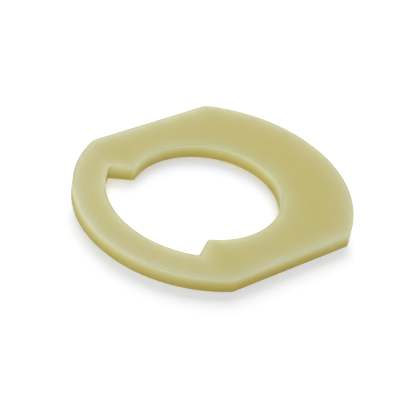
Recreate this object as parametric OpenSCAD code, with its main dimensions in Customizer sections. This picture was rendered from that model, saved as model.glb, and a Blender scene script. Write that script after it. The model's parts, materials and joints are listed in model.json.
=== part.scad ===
// Shift lever spacer: a flat moulded nylon plate with two round ends,
// two parallel flats and a keyed hole. It lies on z = 0. The hole's axis is
// the Z axis, and the centre line of the plate is the X axis, with the narrow
// end towards -X and the wide end towards +X.

/* [Plate] */
// Thickness of the plate
plate_t = 3; // [2:0.1:5]
// Radius of the narrow end, from the hole's axis
narrow_end_r = 25; // [24:0.1:27]
// Radius of the wide end, from the hole's axis
wide_end_r = 28; // [26:0.1:32]
// Depth that each flat takes off the side of the narrow end
flat_depth = 2.3; // [1:0.1:4]

/* [Hole] */
// Radius of the seat, the part of the hole that fits round the lever's hub
seat_r = 14.2; // [13:0.1:15]
// Radius of the relief, the part of the hole towards the narrow end
relief_r = 18.9; // [18:0.1:20.5]
// Distance between the two steps where the seat ends
mouth_w = 23.2; // [22:0.1:24]
// Angle of each step's face to the centre line
step_angle = 34.45; // [25:0.05:45]

/* [Edges] */
// Radius of the rounding along the upper and lower edges
edge_r = 0.25; // [0.1:0.05:0.35]
// Radius of the outer corners, where the flats meet the ends
corner_r = 1.5; // [1:0.1:2.5]
// Radius of the steps' corners, where their faces meet the seat
step_corner_r = 0.8; // [0.5:0.1:1.2]
// Radius of the inner corners, where the steps' faces meet the relief
relief_corner_r = 0.4; // [0.3:0.1:0.8]

/* [Hidden] */
$fn = 96;
// How far a cutting shape reaches past the faces that it cuts
past = 1;
// Each flat lies at this distance from the centre line
flat_y = narrow_end_r - flat_depth;
// Each step meets the seat at this distance from the centre line
mouth_y = mouth_w / 2;
// Each step's face lies on a plane at this distance from the hole's axis
step_off = mouth_y * cos(step_angle) - sqrt(seat_r ^ 2 - mouth_y ^ 2) * sin(step_angle);

// Where a circle about the hole's axis with radius r crosses a line at distance h from it
function along(r, h) = sqrt(r ^ 2 - h ^ 2);

// Moves to a point by whole tenths first and then by the rest, which loses no digit of it
module place(point) {
    tenths = [for (v = point) round(10 * v) / 10];
    translate(tenths)
        translate(point - tenths)
            children();
}

// What is cut from an upright section to round the edge that lies at its origin
module edge_cut() {
    translate([-edge_r, -edge_r])
        difference() {
            square(edge_r + past);
            circle(edge_r);
        }
}

// Section of the plate from x = 0 to an upright wall at x = reach
module wall_section(reach) {
    difference() {
        square([reach, plate_t]);
        translate([reach, plate_t])
            edge_cut();
        translate([reach, 0])
            mirror([0, 1])
                edge_cut();
    }
}

// Section of an opening from x = 0 to an upright wall at x = reach
module opening_section(reach) {
    difference() {
        translate([0, -past])
            square([reach + edge_r, plate_t + 2 * past]);
        translate([reach + 2 * edge_r, 0])
            mirror([1, 0])
                wall_section(2 * edge_r);
    }
}

// Half of a round end, on the side that start turns it to
module end_half(end_r, start) {
    rotate_extrude(angle = 180, start = start)
        wall_section(end_r);
}

// The strip between the two flats, longer than the plate
module flats() {
    rotate([90, 0, 90])
        linear_extrude(2 * (wide_end_r + past), center = true) {
            wall_section(flat_y);
            mirror([1, 0])
                wall_section(flat_y);
        }
}

// Turns a section about an upright corner's centre, from one of its walls to the other
module corner_turn(centre, from, to) {
    place([centre.x, centre.y, 0])
        rotate_extrude(angle = to - from, start = from)
            children();
}

// Section that takes a sharp corner away, for a rounding of radius r
module sharp_section(r) {
    translate([0, -past])
        square([3 * r, plate_t + 2 * past]);
}

// Centre of the outer corner between an end and the flat on the +Y side
function outer_centre(end_r) = [along(end_r - corner_r, flat_y - corner_r), flat_y - corner_r];

// The outer corner of an end on the +X side
module outer_corner(end_r) {
    centre = outer_centre(end_r);
    corner_turn(centre, atan2(centre.y, centre.x), 90)
        children();
}

// Both outer corners of both ends, with a section for each
module outer_corners() {
    for (flip = [0, 1])
        mirror([0, flip, 0]) {
            outer_corner(wide_end_r)
                children();
            mirror([1, 0, 0])
                outer_corner(narrow_end_r)
                    children();
        }
}

// Turns the X axis along each step's face, with the open side towards +Y
module at_steps() {
    for (flip = [0, 1])
        mirror([0, flip, 0])
            rotate([0, 0, 180 - step_angle])
                children();
}

// Corners of the steps at the seat
module step_corners() {
    depth = step_off + step_corner_r;
    reach = along(seat_r + step_corner_r, depth);
    at_steps()
        corner_turn([reach, -depth], 90, atan2(depth, -reach))
            children();
}

// Inner corners between the steps and the relief
module relief_corners() {
    depth = step_off - relief_corner_r;
    reach = along(relief_r - relief_corner_r, depth);
    at_steps()
        corner_turn([reach, -depth], -90, atan2(-depth, reach))
            children();
}

// Everything on the open side of one step's face
module step_side() {
    reach = 2 * relief_r;
    place([reach, -step_off, 0])
        translate([0, reach, 0])
            rotate([90, 0, -90])
                linear_extrude(2 * reach)
                    opening_section(reach);
}

module relief() {
    difference() {
        intersection() {
            rotate_extrude()
                opening_section(relief_r);
            rotate([0, 0, 180 - step_angle])
                step_side();
            mirror([0, 1, 0])
                rotate([0, 0, 180 - step_angle])
                    step_side();
        }
        relief_corners()
            sharp_section(relief_corner_r);
    }
    relief_corners()
        opening_section(relief_corner_r);
}

module hole() {
    rotate_extrude()
        opening_section(seat_r);
    relief();
}

module blank() {
    intersection() {
        union() {
            end_half(narrow_end_r, 90);
            end_half(wide_end_r, -90);
        }
        flats();
    }
}

// The blank without its sharp corners, outside at the flats and inside at the steps
module cornered_blank() {
    difference() {
        blank();
        outer_corners()
            sharp_section(corner_r);
        step_corners()
            sharp_section(step_corner_r);
    }
}

module spacer() {
    color("#c3bb88")
        union() {
            difference() {
                cornered_blank();
                hole();
            }
            outer_corners()
                wall_section(corner_r);
            step_corners()
                wall_section(step_corner_r);
        }
}

spacer();
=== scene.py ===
import json
import math

import bmesh
import bpy
from mathutils import Matrix, Vector


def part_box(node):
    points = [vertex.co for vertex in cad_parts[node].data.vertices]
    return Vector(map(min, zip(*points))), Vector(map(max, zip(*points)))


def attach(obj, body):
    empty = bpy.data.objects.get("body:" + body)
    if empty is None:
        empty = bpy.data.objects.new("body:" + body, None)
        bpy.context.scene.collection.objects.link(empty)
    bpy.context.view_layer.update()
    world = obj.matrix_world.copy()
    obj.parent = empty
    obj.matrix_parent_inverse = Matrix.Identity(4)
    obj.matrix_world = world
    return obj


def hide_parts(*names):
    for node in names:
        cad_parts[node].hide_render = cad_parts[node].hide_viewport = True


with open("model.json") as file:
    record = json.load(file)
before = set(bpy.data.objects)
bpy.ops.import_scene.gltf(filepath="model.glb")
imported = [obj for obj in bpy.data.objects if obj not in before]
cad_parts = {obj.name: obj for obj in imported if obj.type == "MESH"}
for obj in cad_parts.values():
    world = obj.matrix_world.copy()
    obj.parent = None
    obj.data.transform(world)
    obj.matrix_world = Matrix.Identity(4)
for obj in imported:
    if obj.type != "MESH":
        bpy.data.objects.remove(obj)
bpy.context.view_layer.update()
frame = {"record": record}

MM = 0.001

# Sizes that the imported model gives
LOW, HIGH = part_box("spacer")
PLATE_T = HIGH.z
NARROW_END_R = -LOW.x
WIDE_END_R = HIGH.x
FLAT_Y = HIGH.y
HUB_SEAT = next(m for m in frame["record"]["mounts"] if m["name"] == "hub_seat")
SEAT_R = HUB_SEAT["dims"]["r_mm"] * MM

# The axis that the two ends and the hole share
AXIS = (0, 0)

# Sizes of the keyed hole: its relief, and where its two steps meet the seat and how they slope
RELIEF_R = 18.9 * MM
MOUTH_Y = 11.6 * MM
STEP_ANGLE = math.radians(34.45)
# Each step's face lies on a plane at this distance from the axis
STEP_OFF = MOUTH_Y * math.cos(STEP_ANGLE) - math.sqrt(SEAT_R**2 - MOUTH_Y**2) * math.sin(STEP_ANGLE)

# Roundings. The lower edge looks sharper in the photograph than the upper one.
EDGE_R = 0.25 * MM
LOWER_EDGE_R = 0.08 * MM
CORNER_R = 1.5 * MM
STEP_CORNER_R = 0.8 * MM
RELIEF_CORNER_R = 0.4 * MM

# How finely the outlines and the roundings are divided
ARC_STEP = math.radians(1.5)
CORNER_STEPS = 10
EDGE_STEPS = 8
# Flat margin inside each rounded edge, which keeps the shading of the big faces level
MARGIN = 0.1 * MM
# Points closer together than this are one point
SAME_POINT = EDGE_R / 1000

# Camera of the photograph: its aim, where it stands, its turn round the view and its lens
AIM = Vector((-0.302, -1.62, 0)) * MM
DISTANCE = 272.8 * MM
CAMERA_AZIMUTH = math.radians(-132.79)
CAMERA_ELEVATION = math.radians(37.94)
ROLL = math.radians(10.07)
SENSOR_MM = 36
LENS_MM = 126.06


def linear(red, green, blue):
    """A screen's colour, from 0 to 255, in linear light, by the curve of the sRGB standard."""

    def one(level):
        level /= 255
        return level / 12.92 if level <= 0.04045 else ((level + 0.055) / 1.055) ** 2.4

    return (one(red), one(green), one(blue), 1)


WHITE = (1, 1, 1, 1)
BLACK = (0, 0, 0, 1)

# A colour's reach is the distance from an edge at which it is down to about a third. Its span is where it
# sets in and where it is full. With a direction, 1 is where a wall faces it and -1 where it faces away.

# The nylon's faces, inside and along the outer edge and the hole. Along the edges painted light makes them
# paler, for light let through the translucent edges, most where the wall below faces the key lamp
FACE = linear(185, 174, 92)
OUTER_SHADED_EDGE = linear(192, 193, 159)
OUTER_LIT_EDGE = linear(208, 211, 179)
OUTER_LIT_TOWARDS = math.radians(75)
HOLE_SHADED_EDGE = linear(187, 188, 141)
HOLE_LIT_EDGE = linear(208, 211, 174)
HOLE_SHADED_TOWARDS = math.radians(38)
LIT_EDGE_REACH = 1.8 * MM
# Painted shade on the rounded upper edge, on the side away from the camera, where it faces the key lamp
RIM_SHADE = linear(174, 175, 141)
RIM_SHADE_TOWARDS = math.radians(60)
RIM_SHADE_SPAN = (-0.1, 0.1)

# The walls, at the top, below it and at the foot: painted light makes the top pale and painted shade makes
# the foot deeper
WALL_LIT_TOP = linear(203, 208, 191)
WALL_UPPER = linear(218, 208, 109)
WALL_SHADED_FOOT = linear(173, 158, 68)
WALL_REACH = 0.9 * MM
# How bright the hole's walls and the walls towards the left are, against the others: painted light in the
# hole, and painted shade towards the left, where the lamps give the walls more light
HOLE_WALL_LIGHT = 1.065
LEFT_WALL_SHADE = 0.85
LEFT_SHADE_TOWARDS = math.radians(120)
LEFT_SHADE_SPAN = (0.5, 0.9)
# Painted shade: how much of each colour the deeper part of the outer wall towards the front keeps, which
# makes it warmer and darker
FRONT_WALL_SHADE = (0.98, 0.94, 0.78)
FRONT_SHADE_TOWARDS = math.radians(-98)
FRONT_SHADE_SPAN = (0.7, 0.95)

# A slow drift in the moulding, which moves the painted pale bands to and fro, and the fine grain of its
# surface
CLOUD_SIZE = 4.0 * MM
CLOUD_DETAIL = 3
CLOUD_SHIFT = 1.2 * MM
GRAIN_SIZE = 0.25 * MM
GRAIN_DETAIL = 2
GRAIN_DEPTH = 0.02 * MM
GRAIN_STRENGTH = 0.1
# Gloss, and how far red, green and blue light scatters under the surface
ROUGHNESS = 0.6
SPECULAR = 0.3
SCATTER_SHARE = 1.0
SCATTER_MM = (1.5, 1.2, 0.5)

# Studio light: a white sky, a key lamp behind the plate and two broad fill lamps that cast no shadow
SKY_LEVEL = 0.48
KEY_LEVEL = 0.322
KEY_ANGLE = math.radians(40)
KEY_ELEVATION = math.radians(38)
KEY_AZIMUTH = math.radians(53)
LEFT_LEVEL = 0.081
LEFT_AZIMUTH = math.radians(180)
FRONT_LEVEL = 0.031
FRONT_AZIMUTH = math.radians(-60)
FILL_ANGLE = math.radians(120)
FILL_ELEVATION = math.radians(15)

# The table reaches this far from the middle. Its face lies a little above the plate's underside, so that
# the two never coincide.
TABLE_HALF = 2.0
TABLE_RISE = 0.01 * MM
# The table's colour for the light that it throws back onto the plate. The camera sees it as white.
TABLE_BOUNCE = (0.9, 0.9, 0.9, 1)
# What is added to the table as it is seen: in the shadow, close to the plate and past the shadow
SHADOW_GLOW = (0.041, 0.046, 0.062, 1)
CONTACT_GLOW = (0.07, 0.1, 0.205, 1)
CONTACT_REACH = 1.3 * MM
FAR_GLOW = (0.12, 0.12, 0.12, 1)
FAR_SPAN = (8 * MM, 16 * MM)
# Close to the plate, on the sides where the key lamp's shadow doesn't fall
SIDE_GLOW = (0.24, 0.26, 0.36, 1)
SHADOW_TOWARDS = math.radians(-127)
SIDE_SPAN = (0.4, 0.2)
# Inside the hole, where nothing is added close to the wall, and in its relief, along the X axis
HOLE_GLOW = (0.058, 0.065, 0.125, 1)
HOLE_CONTACT_REACH = 0.6 * MM
RELIEF_GLOW = (0.23, 0.23, 0.25, 1)
RELIEF_REACH = 2.5 * MM
RELIEF_SPAN = (-7 * MM, -11 * MM)


def added(name, data):
    """A new object in the scene."""
    made = bpy.data.objects.new(name, data)
    bpy.context.scene.collection.objects.link(made)
    return made


# The plate


def arc(centre, radius, start, end, steps=None):
    """Points of an arc, both of its ends included."""
    steps = steps or max(2, round(abs(end - start) / ARC_STEP))
    turns = [start + (end - start) * i / steps for i in range(steps + 1)]
    return [Vector((centre[0] + radius * math.cos(a), centre[1] + radius * math.sin(a))) for a in turns]


def along(radius, height):
    """Where a circle about the axis crosses a line at that distance from it."""
    return math.sqrt(radius**2 - height**2)


def closed(*arcs):
    """A closed outline from the arcs of its half on the +Y side, from the +X axis round to the -X axis."""
    half = []
    for run in arcs:
        repeats = half and (half[-1] - run[0]).length < SAME_POINT
        half += run[1:] if repeats else run
    return half + [Vector((p.x, -p.y)) for p in reversed(half[1:-1])]


def polar(point):
    """Direction of a point, seen from the axis."""
    return math.atan2(point[1], point[0])


def outer_outline(inset):
    """The plate's outline, moved inwards. Each corner keeps its centre."""
    rise = FLAT_Y - CORNER_R
    wide = (along(WIDE_END_R - CORNER_R, rise), rise)
    narrow = (-along(NARROW_END_R - CORNER_R, rise), rise)
    return closed(
        arc(AXIS, WIDE_END_R - inset, 0, polar(wide)),
        arc(wide, CORNER_R - inset, polar(wide), math.pi / 2, CORNER_STEPS),
        arc(narrow, CORNER_R - inset, math.pi / 2, polar(narrow), CORNER_STEPS),
        arc(AXIS, NARROW_END_R - inset, polar(narrow), math.pi),
    )


def hole_outline(inset):
    """The keyed hole's outline, moved into the plate. Each corner keeps its centre."""
    turn = math.pi - STEP_ANGLE
    to_plate = Matrix.Rotation(turn, 2)
    # In the step's own frame its face runs along X, with the plate on the -Y side
    depth = STEP_OFF + STEP_CORNER_R
    step = to_plate @ Vector((along(SEAT_R + STEP_CORNER_R, depth), -depth))
    depth = STEP_OFF - RELIEF_CORNER_R
    inner = to_plate @ Vector((along(RELIEF_R - RELIEF_CORNER_R, depth), -depth))
    return closed(
        arc(AXIS, SEAT_R + inset, 0, polar(step)),
        arc(step, STEP_CORNER_R - inset, polar(step) - math.pi, turn - 1.5 * math.pi, CORNER_STEPS),
        arc(inner, RELIEF_CORNER_R + inset, turn - math.pi / 2, polar(inner), CORNER_STEPS),
        arc(AXIS, RELIEF_R + inset, polar(inner), math.pi),
    )


def rounded_edge(radius):
    """Inset and depth along a rounded edge, from the face to the wall."""
    quarter = [math.pi / 2 * i / EDGE_STEPS for i in range(EDGE_STEPS + 1)]
    curve = [(radius * (1 - math.sin(a)), radius * (1 - math.cos(a))) for a in quarter]
    return [(radius + MARGIN, 0)] + curve


def wall_profile():
    """Inset and height from the top face over the rounded edge, down the wall and under the plate."""
    upper = [(inset, PLATE_T - depth) for inset, depth in rounded_edge(EDGE_R)]
    return upper + list(reversed(rounded_edge(LOWER_EDGE_R)))


def walled(mesh, outline):
    """The rounded wall of one outline. Gives back the edges of its top and bottom rims."""
    rings = []
    for inset, height in wall_profile():
        rings.append([mesh.verts.new((p.x, p.y, height)) for p in outline(inset)])
    count = len(rings[0])
    for upper, lower in zip(rings, rings[1:]):
        for i in range(count):
            j = (i + 1) % count
            mesh.faces.new((upper[i], lower[i], lower[j], upper[j]))
    rims = (rings[0], rings[-1])
    return [[mesh.edges.get((rim[i - 1], rim[i])) for i in range(count)] for rim in rims]


def plate():
    """The plate, with both of its faces filled between the outer wall and the hole's wall."""
    mesh = bmesh.new()
    for outer_rim, hole_rim in zip(walled(mesh, outer_outline), walled(mesh, hole_outline)):
        bmesh.ops.triangle_fill(mesh, use_beauty=True, edges=outer_rim + hole_rim)
    bmesh.ops.recalc_face_normals(mesh, faces=mesh.faces)
    for face in mesh.faces:
        face.smooth = True
    data = bpy.data.meshes.new("spacer_plate")
    mesh.to_mesh(data)
    mesh.free()
    return added("spacer_plate", data)


# Materials

# Sockets of a Mix node that mixes colours: both colours and the result
MIX_LOW = 6
MIX_HIGH = 7
MIX_RESULT = 2
# What a noise varies about
NOISE_MIDDLE = 0.5


class Field:
    """A shader socket. Sums, products and the like add Math nodes to it."""

    def __init__(self, finish, socket):
        self.finish = finish
        self.socket = socket

    def maths(self, operation, *others):
        inputs = dict(enumerate((self,) + others))
        return self.finish.node("ShaderNodeMath", {"operation": operation}, inputs)["Value"]

    def __add__(self, other):
        return self.maths("ADD", other)

    def __sub__(self, other):
        return self.maths("SUBTRACT", other)

    def __mul__(self, other):
        return self.maths("MULTIPLY", other)

    def __rsub__(self, other):
        return self * -1 + other

    def __abs__(self):
        return self.maths("ABSOLUTE")

    __radd__ = __add__
    __rmul__ = __mul__

    def least(self, other):
        return self.maths("MINIMUM", other)

    def most(self, other):
        return self.maths("MAXIMUM", other)


class Outputs:
    """The outputs of a node, by name or number, each as a Field."""

    def __init__(self, finish, node):
        self.finish = finish
        self.node = node

    def __getitem__(self, key):
        return Field(self.finish, self.node.outputs[key])


class Finish:
    """The nodes of a material or of the sky."""

    def __init__(self, owner):
        owner.use_nodes = True
        self.owner = owner
        self.tree = owner.node_tree
        self.tree.nodes.clear()

    def node(self, kind, settings=None, inputs=None):
        """A new node. An input that is a Field is linked, and any other is set."""
        made = self.tree.nodes.new(kind)
        for key, value in (settings or {}).items():
            setattr(made, key, value)
        for key, value in (inputs or {}).items():
            if isinstance(value, Field):
                self.tree.links.new(value.socket, made.inputs[key])
            else:
                made.inputs[key].default_value = value
        return Outputs(self, made)

    def mix(self, factor, low, high):
        """A colour between two colours."""
        inputs = {"Factor": factor, MIX_LOW: low, MIX_HIGH: high}
        return self.node("ShaderNodeMix", {"data_type": "RGBA"}, inputs)[MIX_RESULT]

    def scaled(self, colour, share):
        """A colour with the same share of its red, green and blue."""
        inputs = {0: colour, "Scale": share}
        return self.node("ShaderNodeVectorMath", {"operation": "SCALE"}, inputs)["Vector"]

    def tinted(self, colour, shares):
        """A colour with a share each of its red, green and blue."""
        inputs = {0: colour, 1: shares}
        return self.node("ShaderNodeVectorMath", {"operation": "MULTIPLY"}, inputs)["Vector"]

    def fade(self, field, start, end):
        """A smooth rise from 0 to 1 as the field goes from start to end."""
        inputs = {"Value": field, "From Min": start, "From Max": end, "To Min": 0, "To Max": 1}
        return self.node("ShaderNodeMapRange", {"interpolation_type": "SMOOTHSTEP"}, inputs)["Result"]

    def noise(self, place, size, detail):
        """A field that varies from place to place, in lumps of that size."""
        inputs = {"Vector": place, "Scale": 1 / size, "Detail": detail}
        return self.node("ShaderNodeTexNoise", None, inputs)["Fac"]

    def seen(self):
        """1 for a ray from the camera, by way of a shine or a clear piece too, and 0 for any other."""
        path = self.node("ShaderNodeLightPath")
        return path["Is Camera Ray"].most(path["Is Glossy Ray"]).most(path["Is Transmission Ray"])

    def output(self, shader, kind="ShaderNodeOutputMaterial"):
        """Ends the nodes with that shader, and gives back the material or the sky."""
        self.node(kind, None, {"Surface": shader})
        return self.owner


class Walls:
    """Where a point lies among the plate's walls. Distances are level, and negative in front of a wall."""

    def __init__(self, finish):
        self.place = finish.node("ShaderNodeTexCoord")["Object"]
        axes = finish.node("ShaderNodeSeparateXYZ", None, {0: self.place})
        self.x, self.y, self.height = axes["X"], axes["Y"], axes["Z"]
        # The plate is the same on both sides of the X axis
        side = abs(self.y)
        self.radius = (self.x * self.x + side * side).maths("SQRT")
        end_r = NARROW_END_R + (WIDE_END_R - NARROW_END_R) * self.x.maths("GREATER_THAN", 0)
        self.from_outside = (end_r - self.radius).least(FLAT_Y - side)
        from_step = self.x * math.sin(STEP_ANGLE) + side * math.cos(STEP_ANGLE) - STEP_OFF
        self.from_hole = (self.radius - SEAT_R).least((self.radius - RELIEF_R).most(from_step))
        self.nearest = self.from_outside.least(self.from_hole)
        # 1 where the hole's wall is the nearest one
        self.in_hole = (self.from_outside - self.from_hole).maths("GREATER_THAN", 0)

    def towards(self, direction):
        """1 where a point lies in that direction from the axis, -1 where it lies in the opposite one."""
        forward = self.x * math.cos(direction) + self.y * math.sin(direction)
        return forward.maths("DIVIDE", self.radius)

    def share_towards(self, direction):
        """The same, from 0 to 1."""
        return self.towards(direction) * 0.5 + 0.5

    def facing(self, direction):
        """1 where the nearest wall faces that direction, -1 where it faces away."""
        return self.towards(direction) * (1 - 2 * self.in_hole)


def falling(distance, reach):
    """A share that is 1 at no distance and falls the further away it is."""
    return (distance * (-1 / reach)).maths("EXPONENT")


def face_colour(finish, walls):
    """Yellow inside, with painted light along every edge and painted shade on the rounded edge on one
    side.
    """
    drift = (finish.noise(walls.place, CLOUD_SIZE, CLOUD_DETAIL) - NOISE_MIDDLE) * CLOUD_SHIFT
    # Painted light along the edges, paler where the wall below faces the key lamp and duller away from it
    outer_lit_edge = finish.mix(walls.share_towards(OUTER_LIT_TOWARDS), OUTER_SHADED_EDGE, OUTER_LIT_EDGE)
    hole_lit_edge = finish.mix(walls.share_towards(HOLE_SHADED_TOWARDS), HOLE_LIT_EDGE, HOLE_SHADED_EDGE)
    colour = finish.mix(falling(walls.from_outside + drift, LIT_EDGE_REACH), FACE, outer_lit_edge)
    colour = finish.mix(falling(walls.from_hole + drift, LIT_EDGE_REACH), colour, hole_lit_edge)
    # Painted shade on the rounded upper edge that faces the key lamp, which holds back the lamp's light
    # there
    rim = finish.fade(walls.nearest, 2 * EDGE_R, EDGE_R)
    return finish.mix(rim * finish.fade(walls.facing(RIM_SHADE_TOWARDS), *RIM_SHADE_SPAN), colour, RIM_SHADE)


def wall_colour(finish, walls, depth):
    """Pale at the top and deeper at the foot, darker towards the left, lighter in the hole and warmer
    towards the front: painted light and shade.
    """
    # Painted shade deepens the wall towards its foot, and painted light makes its top pale
    colour = finish.mix(depth * (1 / PLATE_T), WALL_UPPER, WALL_SHADED_FOOT)
    colour = finish.mix(falling(depth, WALL_REACH), colour, WALL_LIT_TOP)
    # Painted light on the hole's walls and painted shade on the walls towards the left
    left_shade = finish.fade(walls.facing(LEFT_SHADE_TOWARDS), *LEFT_SHADE_SPAN)
    colour = finish.scaled(colour, 1 + (HOLE_WALL_LIGHT - 1) * walls.in_hole - (1 - LEFT_WALL_SHADE) * left_shade)
    # Painted shade, warmer and darker, low on the outer wall towards the front
    front_shade = finish.fade(walls.facing(FRONT_SHADE_TOWARDS), *FRONT_SHADE_SPAN) * (1 - walls.in_hole)
    deep_front_shade = front_shade * finish.fade(depth, 0, PLATE_T / 2)
    return finish.mix(deep_front_shade, colour, finish.tinted(colour, FRONT_WALL_SHADE))


def moulded_nylon():
    """Natural nylon, a little translucent, with painted light and shade in its colour along the edges and
    on the walls.
    """
    finish = Finish(bpy.data.materials.new("moulded_nylon"))
    walls = Walls(finish)
    depth = PLATE_T - walls.height
    on_wall = finish.fade(depth, 0, EDGE_R) * finish.fade(walls.height, 0, LOWER_EDGE_R / 2)
    grain = {
        "Height": finish.noise(walls.place, GRAIN_SIZE, GRAIN_DETAIL),
        "Strength": GRAIN_STRENGTH,
        "Distance": GRAIN_DEPTH,
    }
    surface = {
        "Base Color": finish.mix(on_wall, face_colour(finish, walls), wall_colour(finish, walls, depth)),
        "Roughness": ROUGHNESS,
        "Specular IOR Level": SPECULAR,
        "Subsurface Weight": SCATTER_SHARE,
        "Subsurface Radius": SCATTER_MM,
        "Subsurface Scale": MM,
        "Normal": finish.node("ShaderNodeBump", None, grain)["Normal"],
    }
    settings = {"subsurface_method": "RANDOM_WALK"}
    return finish.output(finish.node("ShaderNodeBsdfPrincipled", settings, surface)["BSDF"])


def table_glow(finish):
    """What is added to the table as it is seen, so that the shadow has the photograph's tones."""
    walls = Walls(finish)
    away = walls.nearest * -1
    contact = falling(away, CONTACT_REACH)
    glow = finish.mix(contact, SHADOW_GLOW, CONTACT_GLOW)
    beside = finish.fade(walls.facing(SHADOW_TOWARDS), *SIDE_SPAN)
    glow = finish.mix(beside * contact, glow, SIDE_GLOW)
    in_relief = finish.fade(walls.x, *RELIEF_SPAN) * falling(away, RELIEF_REACH)
    hole_glow = finish.mix(in_relief, HOLE_GLOW, RELIEF_GLOW)
    hole_glow = finish.mix(falling(away, HOLE_CONTACT_REACH), hole_glow, BLACK)
    glow = finish.mix(walls.in_hole, glow, hole_glow)
    return finish.mix(finish.fade(away, *FAR_SPAN), glow, FAR_GLOW)


def studio_white():
    """A white table. What the camera sees of it keeps a softened shadow of the plate."""
    finish = Finish(bpy.data.materials.new("studio_white"))
    bounce = finish.node("ShaderNodeBsdfDiffuse", None, {"Color": TABLE_BOUNCE})["BSDF"]
    shown = finish.node("ShaderNodeBsdfDiffuse", None, {"Color": WHITE})["BSDF"]
    glow = finish.node("ShaderNodeEmission", None, {"Color": table_glow(finish)})["Emission"]
    shown = finish.node("ShaderNodeAddShader", None, {0: shown, 1: glow})["Shader"]
    table = finish.node("ShaderNodeMixShader", None, {0: finish.seen(), 1: bounce, 2: shown})["Shader"]
    return finish.output(table)


# Studio


def pointing(azimuth, elevation=0):
    """A step of length 1 in a direction, tilted up by the elevation."""
    level = math.cos(elevation)
    return Vector((level * math.cos(azimuth), level * math.sin(azimuth), math.sin(elevation)))


def floor():
    """The table that the plate lies on."""
    data = bpy.data.meshes.new("studio_table")
    quarters = ((-1, -1), (1, -1), (1, 1), (-1, 1))
    corners = [(x * TABLE_HALF, y * TABLE_HALF, TABLE_RISE) for x, y in quarters]
    data.from_pydata(corners, [], [range(len(corners))])
    made = added("studio_table", data)
    made.data.materials.append(studio_white())


def sky():
    """A white studio round the table. Its light is weaker than the white that is seen of it."""
    bpy.context.scene.world = bpy.data.worlds.new("white_studio")
    finish = Finish(bpy.context.scene.world)
    white = {"Color": WHITE, "Strength": SKY_LEVEL + (1 - SKY_LEVEL) * finish.seen()}
    background = finish.node("ShaderNodeBackground", None, white)["Background"]
    finish.output(background, "ShaderNodeOutputWorld")


def lamp(name, level, azimuth, elevation, angle, shadow=True):
    """A lamp far away, as broad as its angle, which gives a level face this share of the light."""
    light = bpy.data.lights.new(name, "SUN")
    light.use_shadow = shadow
    # With both kinds of sampling a lamp would keep part of its shadow
    light.cycles.use_multiple_importance_sampling = shadow
    light.angle = angle
    light.energy = level * math.pi / math.sin(elevation)
    made = added(name, light)
    made.rotation_mode = "QUATERNION"
    made.rotation_quaternion = pointing(azimuth, elevation).to_track_quat("Z", "Y")


def camera():
    """The camera of the photograph."""
    data = bpy.data.cameras.new("photo_camera")
    data.sensor_width = SENSOR_MM
    data.lens = LENS_MM
    back = pointing(CAMERA_AZIMUTH, CAMERA_ELEVATION)
    level = pointing(CAMERA_AZIMUTH + math.pi / 2)
    right = math.cos(ROLL) * level + math.sin(ROLL) * back.cross(level)
    turn = Matrix((right, back.cross(right), back)).transposed().to_4x4()
    made = added("photo_camera", data)
    made.matrix_world = Matrix.Translation(AIM + back * DISTANCE) @ turn
    bpy.context.scene.camera = made


spacer = plate()
spacer.data.materials.append(moulded_nylon())
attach(spacer, "root")
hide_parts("spacer")
floor()
sky()
lamp("key_lamp", KEY_LEVEL, KEY_AZIMUTH, KEY_ELEVATION, KEY_ANGLE)
lamp("left_fill", LEFT_LEVEL, LEFT_AZIMUTH, FILL_ELEVATION, FILL_ANGLE, shadow=False)
lamp("front_fill", FRONT_LEVEL, FRONT_AZIMUTH, FILL_ELEVATION, FILL_ANGLE, shadow=False)
camera()
bpy.context.scene.view_settings.view_transform = "Standard"
